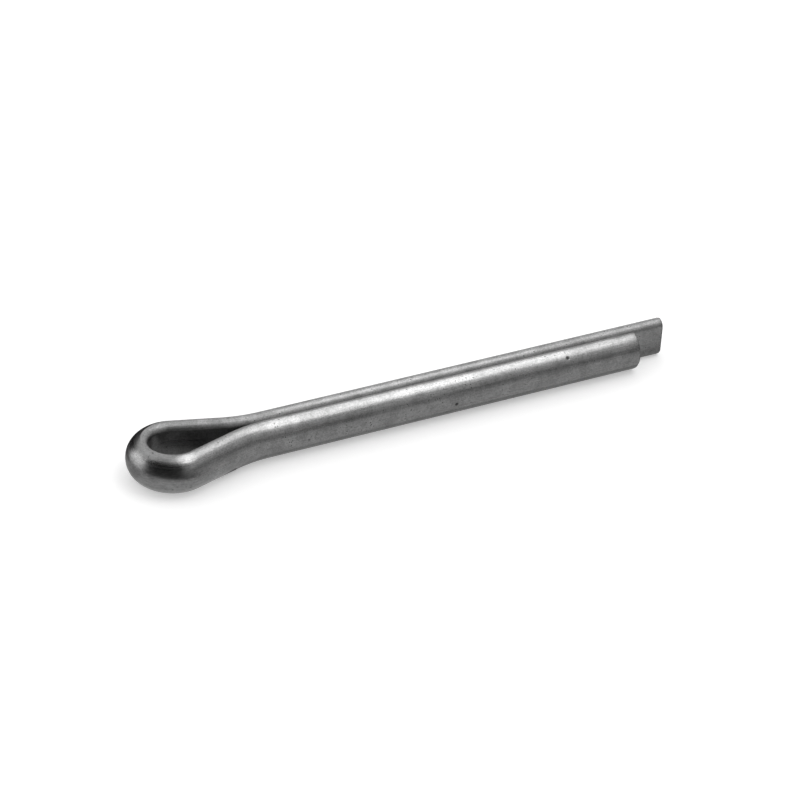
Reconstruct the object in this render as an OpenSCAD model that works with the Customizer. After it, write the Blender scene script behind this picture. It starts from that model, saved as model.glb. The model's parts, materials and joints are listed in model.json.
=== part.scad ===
// Cotter pin: one half-round steel wire folded over on its flat side. It makes a round eye,
// a tapering neck and two straight legs that lie flat to flat and form a round shank.
// The pin lies on its side: X runs along the shank towards the tips, Z is up, and the
// shorter leg is on the -Y side. The middle of the lowest edge is at the origin.

/* [Wire] */
// Diameter of the round shank that the two legs form together
shank_d = 4.5; // [3.2:0.1:6]
// Slit between the flat sides of the two legs
leg_gap = 0.1; // [0.06:0.02:0.4]
// Width of the groove that the rounded edges of the two legs leave along the shank
groove_w = 1.65; // [1:0.05:1.7]
// Radius of the rounded edges between the flat and the round side of the wire
edge_r = 0.9; // [0.6:0.05:1.1]

/* [Eye] */
// Inside radius of the eye's round end
eye_r = 2.25; // [1.6:0.05:4]
// Straight tapering length of the wire between the eye's round end and the neck bend
taper_len = 4.9; // [2:0.1:12]
// Radius in which the flat side of each leg bends outwards at the neck
neck_r = 14.3; // [6:0.1:30]

/* [Legs] */
// Straight length of the shorter leg, from the neck bend to its tip
short_leg = 41.2; // [15:0.1:90]
// Length by which the longer leg passes the shorter one
leg_step = 4; // [1:0.1:10]
// Width of the bevel around the round side of each tip
tip_bevel = 0.15; // [0.05:0.05:0.6]

/* [Hidden] */
$fn = 112;

// Flat steps that stand for each rounded edge of the wire
EDGE_STEPS = 8;
// Where two lengths of wire join, the inner one is this much slimmer all round
JOINT_EASE = 0.016;
// Length by which the inner one runs into the outer one
JOINT_LAP = 0.2;

// The section of one leg is a disc around the shank's axis, cut off by the flat side
shank_r = shank_d / 2;
flat_x = leg_gap / 2;
wire_t = shank_r - flat_x;

// The rounded edge touches the flat side and meets the round side at the groove's rim
rim_x = groove_w / 2;
rim_y = sqrt(pow(shank_r, 2) - pow(rim_x, 2));
edge_x = flat_x + edge_r;
edge_y = rim_y - sqrt(pow(edge_r, 2) - pow(rim_x - edge_x, 2));
edge_turn = atan2(rim_y - edge_y, rim_x - edge_x);
wire_h = 2 * (rim_x > edge_x ? edge_y + edge_r : rim_y);

// The taper touches the neck circle and the eye circle from opposite sides
neck_y = flat_x + neck_r;
eye_x = sqrt(pow(taper_len, 2) + pow(neck_r + eye_r, 2) - pow(neck_y, 2));
taper_turn = atan2(neck_r + eye_r, taper_len) - atan2(neck_y, eye_x);

long_leg = short_leg + leg_step;
eye_end = eye_x + eye_r + wire_t;
mid_x = (long_leg - eye_end) / 2;

// Edge length of the blocks that cut the rings, larger than any ring
block = 3 * (neck_y + eye_end);

cotter_pin();

// A point on a rounded edge of radius r, from the round side (0) to the flat side (EDGE_STEPS)
function edge_point(i, r) =
    let (a = edge_turn + (180 - edge_turn) * i / EDGE_STEPS)
    [edge_x + r * cos(a), edge_y + r * sin(a)];

// The rounded edge's points, starting outside the round side so that the disc trims the first step
function edge_run(r) = concat(
    [2 * edge_point(0, r) - edge_point(1, r)],
    [for (i = [1 : EDGE_STEPS]) edge_point(i, r)]
);

// The whole pin: the eye's round end with the short half and the long half
module cotter_pin() {
    color([0.55, 0.56, 0.57])
    translate([-mid_x, 0, wire_h / 2]) {
        eye_arc();
        mirror([0, 1, 0]) half_wire(short_leg);
        half_wire(long_leg);
    }
}

// One half of the wire on the +Y side, from the eye's round end to the tip
module half_wire(leg_len) {
    leg(leg_len);
    neck_bend();
    at_taper() translate([JOINT_LAP, 0, 0]) straight_wire(taper_len + 2 * JOINT_LAP, 2 * JOINT_EASE);
}

// A straight leg along X, bevelled around the round side of its tip
module leg(leg_len) {
    intersection() {
        translate([leg_len, 0, 0]) straight_wire(leg_len);
        translate([leg_len + tip_bevel, 0, 0])
        rotate([0, -90, 0])
        cylinder(h = block, r1 = shank_r - 2 * tip_bevel, r2 = shank_r - 2 * tip_bevel + block);
    }
}

// The bend from the leg to the taper: a part of a ring with its flat side outwards
module neck_bend() {
    intersection() {
        translate([0, neck_y, 0])
        rotate_extrude()
        translate([neck_y, 0])
        mirror([1, 0])
        wire_section(JOINT_EASE);
        translate([JOINT_LAP - block, neck_y - block, -block / 2]) cube(block);
        at_taper() translate([0, neck_y - block, -block / 2]) cube(block);
    }
}

// The eye's round end between the two tapers: a part of a ring with its flat side inwards
module eye_arc() {
    intersection() {
        translate([-eye_x, 0, 0])
        rotate_extrude()
        translate([eye_r - flat_x, 0])
        wire_section();
        union() {
            before_taper();
            mirror([0, 1, 0]) before_taper();
        }
    }
}

// A block that fills the eye's side of the plane where the taper starts
module before_taper() {
    at_taper() translate([-taper_len - block, -block / 2, -block / 2]) cube(block);
}

// The frame of the taper: the leg's frame turned about the centre of the neck circle
module at_taper() {
    translate([0, neck_y, 0])
    rotate([0, 0, -taper_turn])
    translate([0, -neck_y, 0])
    children();
}

// A straight length of wire along X that ends at the origin, with its flat side facing -Y
module straight_wire(len, ease = 0) {
    translate([-len, 0, 0])
    rotate([90, 0, 90])
    linear_extrude(height = len)
    wire_section(ease);
}

// The half-round section of the wire around the shank's axis, slimmer all round by ease
module wire_section(ease = 0) {
    run = edge_run(edge_r - ease);
    intersection() {
        circle(r = shank_r - ease);
        polygon(concat(
            [[shank_d, shank_d]],
            run,
            [for (i = [EDGE_STEPS : -1 : 0]) [run[i][0], -run[i][1]]],
            [[shank_d, -shank_d]]
        ));
    }
}
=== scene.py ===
"""A cotter pin of folded half-round steel wire, lying on a pale studio floor."""
import json
import logging
import math
from dataclasses import dataclass, field
from enum import Enum
from typing import NamedTuple

import bmesh
import bpy
from mathutils import Matrix, Vector


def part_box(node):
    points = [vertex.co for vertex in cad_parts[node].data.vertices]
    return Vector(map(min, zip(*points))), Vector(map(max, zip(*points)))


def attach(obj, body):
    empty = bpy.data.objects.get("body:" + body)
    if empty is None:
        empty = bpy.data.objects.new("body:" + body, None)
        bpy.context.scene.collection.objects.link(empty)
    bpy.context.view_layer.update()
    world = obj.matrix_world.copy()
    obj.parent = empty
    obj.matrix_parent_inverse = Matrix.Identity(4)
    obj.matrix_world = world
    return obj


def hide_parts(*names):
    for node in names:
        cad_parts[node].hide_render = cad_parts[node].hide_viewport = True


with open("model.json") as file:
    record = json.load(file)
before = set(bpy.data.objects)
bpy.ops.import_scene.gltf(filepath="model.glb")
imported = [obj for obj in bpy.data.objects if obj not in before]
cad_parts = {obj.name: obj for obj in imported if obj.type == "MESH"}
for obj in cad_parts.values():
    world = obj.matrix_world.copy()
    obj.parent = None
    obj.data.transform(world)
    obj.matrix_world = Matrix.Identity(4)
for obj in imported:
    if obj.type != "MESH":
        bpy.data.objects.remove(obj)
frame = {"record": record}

LOG = logging.getLogger("cotter_pin")
MM = 0.001
UP = Vector((0.0, 0.0, 1.0))
ALONG = Vector((1.0, 0.0, 0.0))
BLACK = (0.0, 0.0, 0.0, 1.0)
WHITE = (1.0, 1.0, 1.0, 1.0)
PLACE = "wire_place"
# The gap within which the outline's first and last points are one
MERGE_GAP = 0.0001 * MM
# The middle of the picture, from the point where the neck meets the shank's axis
PICTURE_ALONG = 14.943 * MM
PICTURE_ASIDE = 0.331 * MM

Ring = list[bmesh.types.BMEdge]
Node = bpy.types.Node
NodeTree = bpy.types.NodeTree
Socket = bpy.types.NodeSocket


class Surface(Enum):
    """The two kinds of surface on the wire, by material index."""

    DRAWN = 0
    SHEARED = 1


class Span(NamedTuple):
    """A stretch of values, with the results at its two ends.

    Attributes:
        low: Value at the start.
        high: Value at the end.
        to_low: Result at the start.
        to_high: Result at the end.
    """

    low: float
    high: float
    to_low: float
    to_high: float


@dataclass(frozen=True)
class Noise:
    """Settings of a noise texture.

    Attributes:
        scale: The texture's scale.
        detail: Number of finer octaves.
        roughness: Strength of the finer octaves.
    """

    scale: float
    detail: float
    roughness: float


@dataclass(frozen=True)
class WireSection:
    """Half-round section of the wire, drawn around the shank's axis.

    Rounded edges lead from the flat side to the round side, so that two legs side by side leave
    a groove along the shank.

    Attributes:
        shank_radius: Radius of the round side.
        slit: Width of the slit between the two legs' flat sides.
        groove_width: Width of the groove along the shank.
        edge_radius: Radius of the edges between the flat and the round side.
        ridge_radius: Rounding of the groove's rims.
        flat_steps: Mesh steps across the flat side.
        edge_steps: Mesh steps round each edge.
        ridge_steps: Mesh steps round each rim of the groove.
        round_steps: Mesh steps round the round side.
    """

    shank_radius: float
    slit: float = 0.1 * MM
    groove_width: float = 1.65 * MM
    edge_radius: float = 0.9 * MM
    ridge_radius: float = 0.2 * MM
    flat_steps: int = 8
    edge_steps: int = 14
    ridge_steps: int = 5
    round_steps: int = 52

    @property
    def flat_side(self) -> float:
        """Distance of the flat side from the shank's axis."""
        return self.slit / 2

    @property
    def edge_centre(self) -> Vector:
        """Centre of the upper rounded edge, which meets the round side at the groove's rim."""
        rim_out = self.groove_width / 2
        rim_up = math.sqrt(self.shank_radius ** 2 - rim_out ** 2)
        out = self.flat_side + self.edge_radius
        drop = math.sqrt(self.edge_radius ** 2 - (rim_out - out) ** 2)
        return Vector((0.0, out, rim_up - drop))

    @property
    def ridge_centre(self) -> Vector:
        """Centre of the upper rim's rounding, which touches the edge and the round side."""
        edge = self.edge_centre
        reach, gap = self.shank_radius - self.ridge_radius, self.edge_radius - self.ridge_radius
        lift = math.acos((reach ** 2 + edge.length_squared - gap ** 2) / (2 * reach * edge.length))
        turn = math.atan2(edge.z, edge.y) + lift
        return Vector((0.0, math.cos(turn), math.sin(turn))) * reach

    def draw(self, mesh: bmesh.types.BMesh, tip: Vector) -> Ring:
        """Draws the closed outline square to the X axis.

        Args:
            mesh: The mesh that takes the outline.
            tip: The point of the shank's axis in the outline's plane.

        Returns:
            The outline's edges.
        """
        edge, ridge = self.edge_centre, self.ridge_centre
        leaving = ridge - edge
        rim_facing = math.atan2(leaving.z, leaving.y)
        round_facing = math.atan2(ridge.z, ridge.y)
        edge_turn, ridge_turn = rim_facing - math.pi, round_facing - rim_facing
        flip = Matrix.Diagonal((1.0, 1.0, -1.0))

        pen = mesh.verts.new(tip + Vector((0.0, self.flat_side, -edge.z)))
        pen = self._stroke(mesh, pen, UP * 2 * edge.z, self.flat_steps)
        pen = self._arc(mesh, pen, tip + edge, edge_turn, self.edge_steps)
        pen = self._arc(mesh, pen, tip + ridge, ridge_turn, self.ridge_steps)
        pen = self._arc(mesh, pen, tip, -2 * round_facing, self.round_steps)
        pen = self._arc(mesh, pen, tip + flip @ ridge, ridge_turn, self.ridge_steps)
        self._arc(mesh, pen, tip + flip @ edge, edge_turn, self.edge_steps)
        bmesh.ops.remove_doubles(mesh, verts=mesh.verts, dist=MERGE_GAP)
        return list(mesh.edges)

    @staticmethod
    def _stroke(
        mesh: bmesh.types.BMesh, pen: bmesh.types.BMVert, way: Vector, steps: int
    ) -> bmesh.types.BMVert:
        """Draws a straight line in equal steps.

        Args:
            mesh: The mesh that takes the line.
            pen: The vertex that the line starts from.
            way: The line's direction and length.
            steps: Number of steps.

        Returns:
            The line's last vertex.
        """
        for _ in range(steps):
            pen = bmesh.ops.extrude_vert_indiv(mesh, verts=[pen])["verts"][0]
            bmesh.ops.translate(mesh, verts=[pen], vec=way / steps)
        return pen

    @staticmethod
    def _arc(
        mesh: bmesh.types.BMesh, pen: bmesh.types.BMVert, centre: Vector, turn: float, steps: int
    ) -> bmesh.types.BMVert:
        """Draws an arc square to the X axis.

        Args:
            mesh: The mesh that takes the arc.
            pen: The vertex that the arc starts from.
            centre: The arc's centre.
            turn: The arc's angle.
            steps: Number of steps.

        Returns:
            The arc's last vertex.
        """
        swung = bmesh.ops.spin(
            mesh, geom=[pen], cent=centre, axis=ALONG, angle=turn, steps=steps, use_merge=False
        )
        return swung["geom_last"][0]


class WireBender:
    """Feeds and bends a wire out of its outline, ring after ring.

    Every vertex keeps its place in the straight wire, in millimetres: the run along the wire, and
    the outline's own two directions. The finishes follow that place round the eye.
    """

    def __init__(self, mesh: bmesh.types.BMesh, outline: Ring, axis_point: Vector) -> None:
        """Starts a wire from its outline.

        Args:
            mesh: The mesh that the wire grows in.
            outline: The outline's edges.
            axis_point: The point of the shank's axis in the outline's plane.
        """
        self.mesh = mesh
        self.ring = outline
        self.run = 0.0
        self.place = mesh.verts.layers.float_vector.new(PLACE)
        for vert in mesh.verts:
            vert[self.place] = (vert.co - axis_point) / MM

    def feed(self, way: Vector, rings: int) -> None:
        """Feeds a straight length of wire.

        Args:
            way: The direction and length of the feed.
            rings: Number of rings in that length.
        """
        for _ in range(rings):
            grown = bmesh.ops.extrude_edge_only(self.mesh, edges=self.ring)["geom"]
            verts = [part for part in grown if isinstance(part, bmesh.types.BMVert)]
            bmesh.ops.translate(self.mesh, verts=verts, vec=way / rings)
            self._advance(grown, way.length / rings)

    def bend(self, centre: Vector, turn: float, radius: float, rings: int) -> None:
        """Bends the wire about an upright axis.

        Args:
            centre: A point on the bend's axis.
            turn: The bend's angle.
            radius: The bend's radius at the shank's axis, for the run along the wire.
            rings: Number of rings in the bend.
        """
        for _ in range(rings):
            swung = bmesh.ops.spin(
                self.mesh, geom=self.ring, cent=centre, axis=UP, angle=turn / rings, steps=1,
                use_merge=False,
            )
            self._advance(swung["geom_last"], abs(turn) * radius / rings)

    def _advance(self, grown: list, length: float) -> None:
        """Makes the new ring current and notes its run along the wire.

        Args:
            grown: The parts of the new ring.
            length: The length of wire that the ring adds.
        """
        self.run += length
        self.ring = [part for part in grown if isinstance(part, bmesh.types.BMEdge)]
        for part in grown:
            if isinstance(part, bmesh.types.BMVert):
                part[self.place].x = self.run / MM


class NodeBoard:
    """A short way to place and link shader nodes in a tree."""

    def __init__(self, tree: NodeTree) -> None:
        """Takes the tree that the nodes go into."""
        self.tree = tree

    def add(self, kind: str, **settings: object) -> Node:
        """Adds a node.

        Args:
            kind: The node's type name.
            **settings: Properties of the node.

        Returns:
            The new node.
        """
        node = self.tree.nodes.new(kind)
        for name, value in settings.items():
            setattr(node, name, value)
        return node

    def group(self, tree: NodeTree, place: Socket, **values: float) -> Node:
        """Adds a node group that follows a place.

        Args:
            tree: The group's own tree.
            place: Coordinates for the group.
            **values: Values of the group's other inputs.

        Returns:
            The new node.
        """
        node = self.add("ShaderNodeGroup", node_tree=tree)
        self.feed(place, node.inputs["Place"])
        for name, value in values.items():
            node.inputs[name].default_value = value
        return node

    def feed(self, source: Socket | float, target: Socket) -> None:
        """Links a socket to an input, or sets the input's own value.

        Args:
            source: A socket, or a value.
            target: The input.
        """
        if isinstance(source, bpy.types.NodeSocket):
            self.tree.links.new(source, target)
        else:
            target.default_value = source

    def math(self, operation: str, first: Socket | float, second: Socket | float = 0.0) -> Socket:
        """Adds a math node.

        Args:
            operation: The node's operation.
            first: First socket or value.
            second: Second socket or value.

        Returns:
            The result's socket.
        """
        node = self.add("ShaderNodeMath", operation=operation)
        self.feed(first, node.inputs[0])
        self.feed(second, node.inputs[1])
        return node.outputs[0]

    def remap(self, value: Socket, span: Span) -> Socket:
        """Adds a clamped, smooth map range.

        Args:
            value: The socket to map.
            span: The stretch of values and its results.

        Returns:
            The result's socket.
        """
        node = self.add("ShaderNodeMapRange", interpolation_type="SMOOTHSTEP")
        self.feed(value, node.inputs["Value"])
        for name, number in zip(("From Min", "From Max", "To Min", "To Max"), span):
            node.inputs[name].default_value = number
        return node.outputs["Result"]

    def noise(self, vector: Socket, settings: Noise) -> Socket:
        """Adds a noise texture.

        Args:
            vector: Coordinates.
            settings: The texture's settings.

        Returns:
            The noise value's socket.
        """
        node = self.add("ShaderNodeTexNoise")
        self.feed(vector, node.inputs["Vector"])
        node.inputs["Scale"].default_value = settings.scale
        node.inputs["Detail"].default_value = settings.detail
        node.inputs["Roughness"].default_value = settings.roughness
        return node.outputs["Fac"]

    def grey(self, value: Socket) -> Socket:
        """Makes a grey colour.

        Args:
            value: The grey's value.

        Returns:
            The colour's socket.
        """
        colour = self.add("ShaderNodeCombineColor")
        for channel in colour.inputs:
            self.feed(value, channel)
        return colour.outputs[0]


class SurfaceEffects:
    """The shader node groups that both finishes of the wire share."""

    LINES = Noise(9.0, 4.0, 0.6)
    STREAKS = Noise(2.2, 2.0, 0.5)
    CLOUD = Noise(0.55, 3.0, 0.55)
    SMUDGE = Noise(1.7, 4.0, 0.65)
    GRAIN = Noise(6.5, 5.0, 0.75)
    # A pit's wall, in shares of the pit's radius
    PIT_WALL = Span(0.35, 1.0, 1.0, 0.0)
    # The two sides of a rounded edge, in millimetres of the wire's place
    BEYOND_FLAT = Span(1.5, 1.9, 0.0, 1.0)
    BEFORE_ROUND = Span(0.70, 0.90, 1.0, 0.0)

    def __init__(self) -> None:
        """Builds each group once."""
        self.lines = self._draw_lines()
        self.mottle = self._mottle()
        self.pits = self._pits()
        self.edges = self._edges()

    @staticmethod
    def _group(name: str, inputs: dict[str, str], outputs: tuple[str, ...]) -> tuple:
        """Starts a node group with its sockets.

        Args:
            name: The group's name.
            inputs: Socket type by input name.
            outputs: Names of the value outputs.

        Returns:
            The group, its board, and its input and output nodes.
        """
        group = bpy.data.node_groups.new(name, "ShaderNodeTree")
        for label, kind in inputs.items():
            group.interface.new_socket(label, in_out="INPUT", socket_type=kind)
        for label in outputs:
            group.interface.new_socket(label, in_out="OUTPUT", socket_type="NodeSocketFloat")
        board = NodeBoard(group)
        return group, board, board.add("NodeGroupInput"), board.add("NodeGroupOutput")

    def _draw_lines(self) -> NodeTree:
        """Makes the fine lines that the drawing die leaves along the wire.

        Returns:
            A group from the wire's place to a line height and a broader streak.
        """
        group, board, start, end = self._group(
            "draw_lines",
            {"Place": "NodeSocketVector", "Stretch": "NodeSocketFloat"},
            ("Lines", "Streaks"),
        )
        parts = board.add("ShaderNodeSeparateXYZ")
        board.feed(start.outputs["Place"], parts.inputs[0])
        run = board.math("DIVIDE", parts.outputs["X"], start.outputs["Stretch"])
        drawn = board.add("ShaderNodeCombineXYZ")
        board.feed(run, drawn.inputs["X"])
        board.feed(parts.outputs["Y"], drawn.inputs["Y"])
        board.feed(parts.outputs["Z"], drawn.inputs["Z"])
        board.feed(board.noise(drawn.outputs[0], self.LINES), end.inputs["Lines"])
        board.feed(board.noise(drawn.outputs[0], self.STREAKS), end.inputs["Streaks"])
        return group

    def _mottle(self) -> NodeTree:
        """Makes the cloudy tone of bare steel that has been handled.

        Returns:
            A group from a place to a coarse cloud, a middling smudge and a fine grain.
        """
        group, board, start, end = self._group(
            "handled_mottle", {"Place": "NodeSocketVector"}, ("Cloud", "Smudge", "Grain")
        )
        place = start.outputs["Place"]
        board.feed(board.noise(place, self.CLOUD), end.inputs["Cloud"])
        board.feed(board.noise(place, self.SMUDGE), end.inputs["Smudge"])
        board.feed(board.noise(place, self.GRAIN), end.inputs["Grain"])
        return group

    def _pits(self) -> NodeTree:
        """Makes small round pits, each in a cell of its own.

        Returns:
            A group from a place to a pit mask. Spread is the number of cells along a millimetre,
            Size a pit's radius in cells, and of all cells the share above Rarity has a pit.
        """
        inputs = {"Place": "NodeSocketVector"}
        inputs |= dict.fromkeys(("Spread", "Size", "Rarity"), "NodeSocketFloat")
        group, board, start, end = self._group("steel_pits", inputs, ("Pits",))
        cells = board.add("ShaderNodeTexVoronoi")
        board.feed(start.outputs["Place"], cells.inputs["Vector"])
        board.feed(start.outputs["Spread"], cells.inputs["Scale"])
        chance = board.add("ShaderNodeSeparateColor")
        board.feed(cells.outputs["Color"], chance.inputs[0])
        rare = board.math("GREATER_THAN", chance.outputs[0], start.outputs["Rarity"])
        reach = board.math("DIVIDE", cells.outputs["Distance"], start.outputs["Size"])
        near = board.remap(reach, self.PIT_WALL)
        board.feed(board.math("MULTIPLY", rare, near), end.inputs["Pits"])
        return group

    def _edges(self) -> NodeTree:
        """Marks the wire's rounded edges, which the drawing die polishes less.

        Returns:
            A group from the wire's place to an edge mask.
        """
        group, board, start, end = self._group(
            "wire_edges", {"Place": "NodeSocketVector"}, ("Edges",)
        )
        parts = board.add("ShaderNodeSeparateXYZ")
        board.feed(start.outputs["Place"], parts.inputs[0])
        height = board.math("ABSOLUTE", parts.outputs["Z"])
        beyond_flat = board.remap(height, self.BEYOND_FLAT)
        before_round = board.remap(parts.outputs["Y"], self.BEFORE_ROUND)
        board.feed(board.math("MULTIPLY", beyond_flat, before_round), end.inputs["Edges"])
        return group


@dataclass(frozen=True)
class SteelFinish:
    """A finish of bare steel.

    Attributes:
        name: The material's name.
        tone: Grey of the steel.
        tone_spread: How far the cloud moves the grey.
        roughness: Middle roughness.
        roughness_spread: How far the streaks move the roughness.
        edge_dulling: Roughness that the wire's rounded edges have on top.
        stretch: How much longer than wide the drawn lines are.
        line_depth: Height of the drawn lines in the bump.
        grain_depth: Height of the grain in the bump.
        pit_depth: Depth of the pits in the bump.
    """

    name: str
    tone: float
    tone_spread: float
    roughness: float
    roughness_spread: float
    edge_dulling: float
    stretch: float
    line_depth: float
    grain_depth: float
    pit_depth: float

    # Inputs of the pit group, for single deep pits and for fine specks
    PITS = {"Spread": 0.62, "Size": 0.16, "Rarity": 0.87}
    SPECKS = {"Spread": 3.4, "Size": 0.30, "Rarity": 0.45}
    # Most values of a noise lie between these
    NOISE_LOW = 0.3
    NOISE_HIGH = 0.7
    # How the marks darken or lighten the grey
    SMUDGE_SHADE = Span(0.32, 0.52, 0.86, 1.0)
    GRAIN_SHADE = Span(NOISE_LOW, NOISE_HIGH, 0.74, 1.24)
    LINE_SHADE = Span(NOISE_LOW, NOISE_HIGH, 0.92, 1.08)
    # Where the cloud gathers the specks, and how dark they are there
    SPECK_CLUSTERS = Span(0.53, 0.61, 0.0, 0.80)
    PIT_SHADE = 0.75
    PIT_DULLING = 0.3
    BUMP_DISTANCE = 0.01 * MM

    def material(self, effects: SurfaceEffects) -> bpy.types.Material:
        """Builds the finish's material.

        Args:
            effects: The node groups that the finishes share.

        Returns:
            The new material.
        """
        steel = bpy.data.materials.new(self.name)
        steel.use_nodes = True
        board = NodeBoard(steel.node_tree)
        shader = steel.node_tree.nodes["Principled BSDF"]
        shader.inputs["Metallic"].default_value = 1.0
        place = board.add("ShaderNodeAttribute", attribute_name=PLACE).outputs["Vector"]
        lines = board.group(effects.lines, place, Stretch=self.stretch)
        mottle = board.group(effects.mottle, place)
        pits = board.group(effects.pits, place, **self.PITS)
        specks = board.group(effects.pits, place, **self.SPECKS)
        edges = board.group(effects.edges, place)

        deep = board.math("MULTIPLY", pits.outputs["Pits"], self.PIT_SHADE)
        clusters = board.remap(mottle.outputs["Cloud"], self.SPECK_CLUSTERS)
        speckled = board.math("MULTIPLY", specks.outputs["Pits"], clusters)
        pitted = board.math("MAXIMUM", deep, speckled)
        board.feed(self._colour(board, lines, mottle, pitted), shader.inputs["Base Color"])
        board.feed(self._dulling(board, lines, edges, pitted), shader.inputs["Roughness"])
        board.feed(self._relief(board, lines, mottle, pits), shader.inputs["Normal"])
        return steel

    def _around(self, middle: float, spread: float) -> Span:
        """Spreads a value over the range that most of a noise lies in."""
        return Span(self.NOISE_LOW, self.NOISE_HIGH, middle - spread, middle + spread)

    def _colour(self, board: NodeBoard, lines: Node, mottle: Node, pitted: Socket) -> Socket:
        """Shades the steel's grey.

        Args:
            board: The material's board.
            lines: The drawn lines' group.
            mottle: The mottle's group.
            pitted: The mask of pits and specks.

        Returns:
            The colour's socket.
        """
        clean = board.remap(mottle.outputs["Cloud"], self._around(self.tone, self.tone_spread))
        for mark, shade in (
            (mottle.outputs["Smudge"], self.SMUDGE_SHADE),
            (mottle.outputs["Grain"], self.GRAIN_SHADE),
            (lines.outputs["Lines"], self.LINE_SHADE),
        ):
            clean = board.math("MULTIPLY", clean, board.remap(mark, shade))
        unpitted = board.math("SUBTRACT", 1.0, pitted)
        return board.grey(board.math("MULTIPLY", clean, unpitted))

    def _dulling(self, board: NodeBoard, lines: Node, edges: Node, pitted: Socket) -> Socket:
        """Works out the steel's roughness.

        Args:
            board: The material's board.
            lines: The drawn lines' group.
            edges: The edge mask's group.
            pitted: The mask of pits and specks.

        Returns:
            The roughness' socket.
        """
        streaks = self._around(self.roughness, self.roughness_spread)
        streaked = board.remap(lines.outputs["Streaks"], streaks)
        edge_part = board.math("MULTIPLY", edges.outputs["Edges"], self.edge_dulling)
        pit_part = board.math("MULTIPLY", pitted, self.PIT_DULLING)
        return board.math("ADD", streaked, board.math("ADD", edge_part, pit_part))

    def _relief(self, board: NodeBoard, lines: Node, mottle: Node, pits: Node) -> Socket:
        """Raises the lines and the grain, and sinks the pits.

        Args:
            board: The material's board.
            lines: The drawn lines' group.
            mottle: The mottle's group.
            pits: The pits' group.

        Returns:
            The normal's socket.
        """
        drawn = board.math("MULTIPLY", lines.outputs["Lines"], self.line_depth)
        grained = board.math("MULTIPLY", mottle.outputs["Grain"], self.grain_depth)
        sunk = board.math("MULTIPLY", pits.outputs["Pits"], -self.pit_depth)
        height = board.math("ADD", board.math("ADD", drawn, grained), sunk)
        bump = board.add("ShaderNodeBump")
        bump.inputs["Strength"].default_value = 1.0
        bump.inputs["Distance"].default_value = self.BUMP_DISTANCE
        board.feed(height, bump.inputs["Height"])
        return bump.outputs["Normal"]


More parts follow.
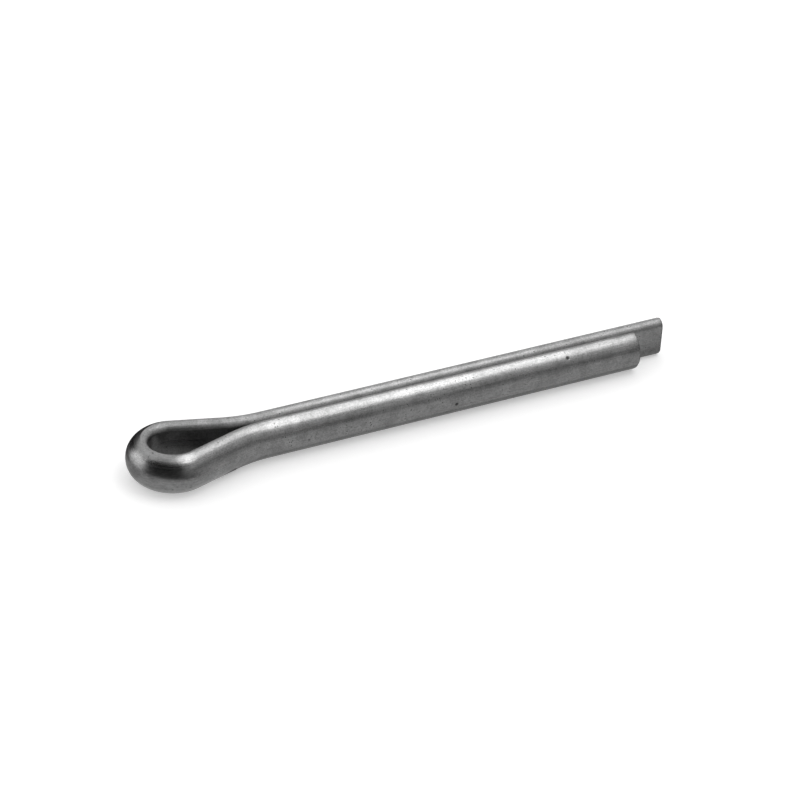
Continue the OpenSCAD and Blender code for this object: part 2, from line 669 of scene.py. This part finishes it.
@dataclass
class CotterPin:
    """The pin: one wire with an eye, a neck and two legs.

    Attributes:
        section: The wire's section.
        long_tip: The point of the shank's axis at the longer leg's tip.
        leg_step: Length by which the longer leg passes the shorter one.
        short_leg: Straight length of the shorter leg.
        eye_radius: Inside radius of the eye's round end.
        taper: Straight length of wire between the eye's round end and the neck.
        neck_radius: Radius in which the flat side bends at the neck.
        tip_rounding: Rounding of the sheared tips' rims.
        piece: The pin's object, once it is built.
    """

    section: WireSection
    long_tip: Vector
    leg_step: float = 4.0 * MM
    short_leg: float = 41.2 * MM
    eye_radius: float = 2.25 * MM
    taper: float = 4.9 * MM
    neck_radius: float = 14.3 * MM
    tip_rounding: float = 0.18 * MM
    piece: bpy.types.Object | None = field(default=None, init=False)

    # Mesh rings in each length of wire, and mesh steps round each tip's rim
    LEG_RINGS = 60
    NECK_RINGS = 14
    TAPER_RINGS = 8
    EYE_RINGS = 84
    TIP_STEPS = 4

    @property
    def neck_centre(self) -> float:
        """Distance of the neck bend's axis from the shank's axis."""
        return self.section.flat_side + self.neck_radius

    @property
    def eye_reach(self) -> float:
        """Distance from the neck's end to the centre of the eye's round end."""
        tangent = self.taper ** 2 + (self.neck_radius + self.eye_radius) ** 2
        return math.sqrt(tangent - self.neck_centre ** 2)

    @property
    def taper_turn(self) -> float:
        """Angle of the taper against the shank."""
        leaning = math.atan2(self.neck_radius + self.eye_radius, self.taper)
        return leaning - math.atan2(self.neck_centre, self.eye_reach)

    def build(self) -> bpy.types.Object:
        """Bends the wire from the longer leg's tip round the eye to the shorter leg's tip.

        Returns:
            The pin's object.
        """
        long_leg = self.short_leg + self.leg_step
        neck = self.long_tip - ALONG * long_leg
        eye = neck - ALONG * self.eye_reach
        aside = Vector((0.0, self.neck_centre, 0.0))
        turn = self.taper_turn
        lean = Vector((math.cos(turn), math.sin(turn), 0.0)) * self.taper
        eye_bend = self.eye_radius - self.section.flat_side

        mesh = bmesh.new()
        outline = self.section.draw(mesh, self.long_tip)
        wire = WireBender(mesh, outline, self.long_tip)
        long_rim = wire.ring
        wire.feed(-ALONG * long_leg, self.LEG_RINGS)
        wire.bend(neck + aside, -turn, self.neck_centre, self.NECK_RINGS)
        wire.feed(Vector((-lean.x, lean.y, 0.0)), self.TAPER_RINGS)
        wire.bend(eye, math.pi + 2 * turn, eye_bend, self.EYE_RINGS)
        wire.feed(lean, self.TAPER_RINGS)
        wire.bend(neck - aside, -turn, self.neck_centre, self.NECK_RINGS)
        wire.feed(ALONG * self.short_leg, self.LEG_RINGS)
        self._cut_tips(mesh, long_rim, wire.ring)
        bmesh.ops.recalc_face_normals(mesh, faces=mesh.faces)
        self.piece = place_mesh("folded_wire", mesh)
        return self.piece

    def _cut_tips(self, mesh: bmesh.types.BMesh, *rims: Ring) -> None:
        """Closes the wire's tips with sheared faces and rounds their rims.

        Args:
            mesh: The wire's mesh.
            *rims: The edges round each tip.
        """
        for face in mesh.faces:
            face.smooth = True
        for rim in rims:
            for face in bmesh.ops.edgeloop_fill(mesh, edges=rim)["faces"]:
                face.material_index = Surface.SHEARED.value
        edges = [edge for rim in rims for edge in rim]
        rounded = bmesh.ops.bevel(
            mesh, geom=edges, offset=self.tip_rounding, segments=self.TIP_STEPS, profile=0.5,
            affect="EDGES", material=-1,
        )
        for face in rounded["faces"]:
            face.smooth = True
            face.material_index = Surface.SHEARED.value

    def dress(self, finishes: dict[Surface, SteelFinish]) -> None:
        """Gives the pin its finishes and its place in the frame.

        Args:
            finishes: The finish of each kind of surface.
        """
        effects = SurfaceEffects()
        for surface in Surface:
            self.piece.data.materials.append(finishes[surface].material(effects))
        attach(self.piece, "root")
        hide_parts("cotter_pin")


@dataclass(frozen=True)
class Softbox:
    """A soft rectangular studio lamp.

    Attributes:
        name: The lamp's name.
        azimuth: Side that the lamp stands on, in degrees; 0 is the front.
        elevation: Height of the lamp above the floor, in degrees.
        distance: Distance from the point that the lamp faces.
        width: Width of the lamp.
        height: Height of the lamp.
        glow: Brightness of the lamp's face.
    """

    name: str
    azimuth: float
    elevation: float
    distance: float
    width: float
    height: float
    glow: float

    def hang(self, target: Vector) -> bpy.types.Object:
        """Hangs the lamp so that it faces the pin.

        Args:
            target: The point that the lamp faces.

        Returns:
            The lamp's object.
        """
        lamp = bpy.data.lights.new(self.name, "AREA")
        lamp.shape = "RECTANGLE"
        lamp.size, lamp.size_y = self.width, self.height
        lamp.energy = self.glow * math.pi * self.width * self.height
        stand = bpy.data.objects.new(self.name, lamp)
        back = look_back(self.azimuth, self.elevation)
        stand.location = target + back * self.distance
        stand.rotation_euler = back.to_track_quat("Z", "Y").to_euler()
        bpy.context.scene.collection.objects.link(stand)
        return stand


@dataclass(frozen=True)
class Card:
    """A plain card around the pin that only reflections see.

    Attributes:
        name: The card's name.
        azimuth: Side that the card stands on, in degrees; 0 is the front.
        elevation: Height of the card above the floor, in degrees.
        distance: Distance from the point that the card faces.
        width: Width of the card.
        height: Height of the card.
        tone: Grey of the card.
    """

    name: str
    azimuth: float
    elevation: float
    distance: float
    width: float
    height: float
    tone: float

    def stand(self, target: Vector) -> bpy.types.Object:
        """Stands the card so that it faces the pin or the eye.

        Args:
            target: The point that the card faces.

        Returns:
            The card's object.
        """
        mesh = flat_sheet(self.width, self.height)
        back = look_back(self.azimuth, self.elevation)
        facing = back.to_track_quat("Z", "Y").to_matrix()
        bmesh.ops.transform(mesh, verts=mesh.verts, matrix=facing.to_4x4())
        bmesh.ops.translate(mesh, verts=mesh.verts, vec=target + back * self.distance)
        return stage_card(self.name, mesh, self.tone)


@dataclass(frozen=True)
class Mat:
    """A plain mat flat on the floor that only reflections see; some mats are painted shadow of the
    floor.

    Attributes:
        name: The mat's name.
        along: Place of the mat's middle along the pin, from the eye's centre.
        aside: Place of the mat's middle across the pin; the front is negative.
        length: Length of the mat along the pin.
        width: Width of the mat.
        lift: Height of the mat above the floor.
        tone: Grey of the mat.
    """

    name: str
    along: float
    aside: float
    length: float
    width: float
    lift: float
    tone: float

    def lay(self, eye_floor: Vector) -> bpy.types.Object:
        """Lays the mat.

        Args:
            eye_floor: The point of the floor under the eye's centre.

        Returns:
            The mat's object.
        """
        mesh = flat_sheet(self.length, self.width)
        shift = Vector((self.along, self.aside, self.lift))
        bmesh.ops.translate(mesh, verts=mesh.verts, vec=eye_floor + shift)
        return stage_card(self.name, mesh, self.tone)


@dataclass
class Studio:
    """The pale floor, the room's light, the lamps and the cards.

    Attributes:
        target: The point that the lamps face.
        eye: The centre of the eye's round end.
        floor_level: Height of the floor.
        floor_size: Side of the square floor.
        floor_tone: Grey of the floor.
        floor_lift: White that the background keeps in the shadow.
        lamps: The lamps.
        cards: The cards that stand around the pin.
        eye_cards: The cards that stand close around the eye.
        mats: The mats under and around the pin; those under the shank and in the eye are painted
            shadow.
        rim_radius: Radius of the grey rim that stands round the front of the floor.
        rim_height: Height of that rim.
        rim_tone: Grey of that rim.
        room_light: The room's brightness by direction, from the front to the back.
    """

    target: Vector
    eye: Vector
    floor_level: float
    floor_size: float = 6.0
    floor_tone: float = 0.86
    floor_lift: float = 0.34
    lamps: tuple[Softbox, ...] = (
        Softbox(
            "top_softbox", azimuth=58.0, elevation=65.0, distance=0.60,
            width=0.42, height=0.34, glow=1.4,
        ),
    )
    cards: tuple[Card, ...] = (
        Card(
            "top_card", azimuth=53.0, elevation=68.0, distance=0.61,
            width=0.42, height=0.34, tone=3.0,
        ),
    )
    eye_cards: tuple[Card, ...] = (
        Card(
            "dark_eye_card", azimuth=-45.0, elevation=17.0, distance=12 * MM,
            width=22 * MM, height=18 * MM, tone=0.0,
        ),
        Card(
            "light_eye_card", azimuth=-119.0, elevation=10.0, distance=45 * MM,
            width=32 * MM, height=34 * MM, tone=2.0,
        ),
        Card(
            "back_eye_card", azimuth=-170.0, elevation=8.0, distance=18 * MM,
            width=18 * MM, height=13 * MM, tone=0.0,
        ),
    )
    mats: tuple[Mat, ...] = (
        Mat(
            "front_mat", along=26 * MM, aside=-200 * MM,
            length=800 * MM, width=400 * MM, lift=0.02 * MM, tone=0.66,
        ),
        Mat(
            "back_mat", along=26 * MM, aside=60 * MM,
            length=120 * MM, width=120 * MM, lift=0.02 * MM, tone=0.50,
        ),
        # Painted shadow: this grey mat under the shank stands in, for reflections only, for the
        # floor's contact shadow
        Mat(
            "shank_shadow_mat", along=31 * MM, aside=0.0,
            length=58 * MM, width=4.4 * MM, lift=0.03 * MM, tone=0.36,
        ),
        # Painted shade: these two mats in the eye stand in, for reflections only, for the floor's
        # shade under the eye's walls
        Mat(
            "eye_front_shadow_mat", along=2 * MM, aside=-1.4 * MM,
            length=8 * MM, width=2 * MM, lift=0.04 * MM, tone=0.01,
        ),
        Mat(
            "eye_back_shadow_mat", along=2 * MM, aside=0.9 * MM,
            length=8 * MM, width=2.6 * MM, lift=0.04 * MM, tone=0.24,
        ),
        Mat(
            "before_eye_mat", along=-8 * MM, aside=-25 * MM,
            length=34 * MM, width=30 * MM, lift=0.04 * MM, tone=0.03,
        ),
        Mat(
            "behind_eye_mat", along=4 * MM, aside=37 * MM,
            length=34 * MM, width=60 * MM, lift=0.04 * MM, tone=0.02,
        ),
    )
    rim_radius: float = 0.50
    rim_height: float = 0.19
    rim_tone: float = 0.25
    room_light: Span = Span(-0.4, 0.5, 0.60, 1.05)

    RIM_STEPS = 32
    FLOOR_ROUGHNESS = 0.9

    def build(self) -> None:
        """Lays the floor, sets the room's light, hangs the lamps and stands the cards."""
        floor = self._floor()
        self._room()
        for lamp in self.lamps:
            lamp.hang(self.target)
            LOG.info("lamp %s", lamp.name)
        for card in self.cards:
            card.stand(self.target)
            LOG.info("card %s", card.name)
        for card in self.eye_cards:
            card.stand(self.eye)
            LOG.info("eye card %s", card.name)
        self._rim()
        for mat in self.mats:
            mat.lay(Vector((self.eye.x, self.eye.y, self.floor_level)))
            LOG.info("mat %s", mat.name)

    def _rim(self) -> bpy.types.Object:
        """Stands a low grey rim round the front of the floor, which only reflections see.

        Returns:
            The rim's object.
        """
        mesh = bmesh.new()
        end = mesh.verts.new((-self.rim_radius, 0.0, self.floor_level))
        bmesh.ops.spin(
            mesh, geom=[end], cent=UP * self.floor_level, axis=UP, angle=math.pi,
            steps=self.RIM_STEPS, use_merge=False,
        )
        raised = bmesh.ops.extrude_edge_only(mesh, edges=mesh.edges)["geom"]
        verts = [part for part in raised if isinstance(part, bmesh.types.BMVert)]
        bmesh.ops.translate(mesh, verts=verts, vec=UP * self.rim_height)
        return stage_card("grey_rim", mesh, self.rim_tone)

    def _floor(self) -> bpy.types.Object:
        """Lays the pale floor.

        Returns:
            The floor's object.
        """
        mesh = flat_sheet(self.floor_size, self.floor_size)
        bmesh.ops.translate(mesh, verts=mesh.verts, vec=UP * self.floor_level)
        floor = place_mesh("pale_floor", mesh)

        pale = bpy.data.materials.new("pale_floor")
        pale.use_nodes = True
        board = NodeBoard(pale.node_tree)
        shader = pale.node_tree.nodes["Principled BSDF"]
        shader.inputs["Base Color"].default_value = (self.floor_tone,) * 3 + (1.0,)
        shader.inputs["Roughness"].default_value = self.FLOOR_ROUGHNESS
        shader.inputs["Specular IOR Level"].default_value = 0.0
        rays = board.add("ShaderNodeLightPath").outputs
        seen = board.math("MAXIMUM", rays["Is Camera Ray"], rays["Is Transmission Ray"])
        seen = board.math("MAXIMUM", seen, rays["Is Glossy Ray"])
        lift = board.math("MULTIPLY", seen, self.floor_lift)
        shader.inputs["Emission Color"].default_value = WHITE
        board.feed(lift, shader.inputs["Emission Strength"])
        floor.data.materials.append(pale)
        return floor

    def _room(self) -> None:
        """Lights the room: bright behind the pin and dimmer in front of it."""
        world = bpy.data.worlds.new("studio_room")
        world.use_nodes = True
        bpy.context.scene.world = world
        board = NodeBoard(world.node_tree)
        sky = world.node_tree.nodes["Background"]
        way = board.add("ShaderNodeSeparateXYZ")
        board.feed(board.add("ShaderNodeTexCoord").outputs["Generated"], way.inputs[0])
        tone = board.remap(way.outputs["Y"], self.room_light)
        board.feed(board.grey(tone), sky.inputs["Color"])


@dataclass(frozen=True)
class ProductCamera:
    """The camera at the photograph's view.

    Attributes:
        target: The point in the middle of the picture.
        azimuth: Side that the camera stands on, in degrees; 0 is the front.
        elevation: Height of the camera above the floor, in degrees.
        roll: Turn of the camera about its own axis, in degrees.
        distance: Distance from the target.
        lens: Focal length, in millimetres of the sensor.
    """

    target: Vector
    azimuth: float = -29.727
    elevation: float = 31.66
    roll: float = 3.165
    distance: float = 289.99 * MM
    lens: float = 133.25

    SENSOR_WIDTH = 36.0
    NEAREST = 10 * MM
    FARTHEST = 20.0

    def place(self) -> bpy.types.Object:
        """Places the camera and makes it the scene's own.

        Returns:
            The camera's object.
        """
        data = bpy.data.cameras.new("product_camera")
        data.sensor_width = self.SENSOR_WIDTH
        data.lens = self.lens
        data.clip_start, data.clip_end = self.NEAREST, self.FARTHEST
        camera = bpy.data.objects.new("product_camera", data)
        back = look_back(self.azimuth, self.elevation)
        level = back.to_track_quat("Z", "Y").to_matrix().to_4x4()
        turned = level @ Matrix.Rotation(math.radians(self.roll), 4, "Z")
        camera.matrix_world = Matrix.Translation(self.target + back * self.distance) @ turned
        bpy.context.scene.collection.objects.link(camera)
        bpy.context.scene.camera = camera
        return camera


def place_mesh(name: str, mesh: bmesh.types.BMesh) -> bpy.types.Object:
    """Makes a mesh an object of the scene.

    Args:
        name: The object's name.
        mesh: The mesh, which is freed.

    Returns:
        The new object, at the origin.
    """
    data = bpy.data.meshes.new(name)
    mesh.to_mesh(data)
    mesh.free()
    placed = bpy.data.objects.new(name, data)
    bpy.context.scene.collection.objects.link(placed)
    return placed


def flat_sheet(length: float, width: float) -> bmesh.types.BMesh:
    """Cuts a flat rectangle around the origin.

    Args:
        length: Length along X.
        width: Width along Y.

    Returns:
        The rectangle's mesh.
    """
    mesh = bmesh.new()
    bmesh.ops.create_grid(mesh, x_segments=1, y_segments=1, size=0.5)
    bmesh.ops.scale(mesh, verts=mesh.verts, vec=(length, width, 1.0))
    return mesh


def stage_card(name: str, mesh: bmesh.types.BMesh, tone: float) -> bpy.types.Object:
    """Makes a plain studio card that only reflections see.

    Args:
        name: The card's name.
        mesh: The card's mesh, which is freed.
        tone: Grey that the card shows.

    Returns:
        The card's object.
    """
    card = place_mesh(name, mesh)
    paint = bpy.data.materials.new(name)
    paint.use_nodes = True
    shader = paint.node_tree.nodes["Principled BSDF"]
    shader.inputs["Base Color"].default_value = BLACK
    shader.inputs["Specular IOR Level"].default_value = 0.0
    shader.inputs["Emission Color"].default_value = WHITE
    shader.inputs["Emission Strength"].default_value = tone
    card.data.materials.append(paint)
    card.visible_camera = False
    card.visible_diffuse = False
    card.visible_shadow = False
    return card


def look_back(azimuth: float, elevation: float) -> Vector:
    """Gives the direction from the pin to a point around it.

    Args:
        azimuth: Side in degrees; 0 is the front, 90 is towards the tips.
        elevation: Height above the floor in degrees.

    Returns:
        The direction, of length 1.
    """
    side, rise = math.radians(azimuth), math.radians(elevation)
    flat = math.cos(rise)
    return Vector((math.sin(side) * flat, -math.cos(side) * flat, math.sin(rise)))


FINISHES = {
    Surface.DRAWN: SteelFinish(
        "drawn_steel", tone=0.26, tone_spread=0.03, roughness=0.31, roughness_spread=0.05,
        edge_dulling=0.16, stretch=30.0, line_depth=0.5, grain_depth=0.25, pit_depth=3.0,
    ),
    Surface.SHEARED: SteelFinish(
        "sheared_steel", tone=0.17, tone_spread=0.03, roughness=0.42, roughness_spread=0.08,
        edge_dulling=0.0, stretch=1.0, line_depth=1.2, grain_depth=1.0, pit_depth=2.0,
    ),
}


def main() -> None:
    """Builds the pin from the part's sizes, then the studio and the camera."""
    logging.basicConfig(level=logging.INFO, format="%(name)s: %(message)s")
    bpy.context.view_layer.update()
    low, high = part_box("cotter_pin")
    shank = next(mount for mount in frame["record"]["mounts"] if mount["name"] == "shank")
    section = WireSection(shank["dims"]["r_mm"] * MM)
    axis_level = (low[2] + high[2]) / 2

    pin = CotterPin(section, Vector((high[0], 0.0, axis_level)))
    piece = pin.build()
    pin.dress(FINISHES)
    LOG.info("piece %s with %d faces", piece.name, len(piece.data.polygons))

    neck_x = high[0] - pin.short_leg - pin.leg_step
    middle = Vector((neck_x + PICTURE_ALONG, PICTURE_ASIDE, axis_level))
    eye = Vector((neck_x - pin.eye_reach, 0.0, axis_level))
    Studio(middle, eye, low[2]).build()
    ProductCamera(middle).place()
    bpy.context.scene.view_settings.view_transform = "Standard"


if __name__ == "__main__":
    main()
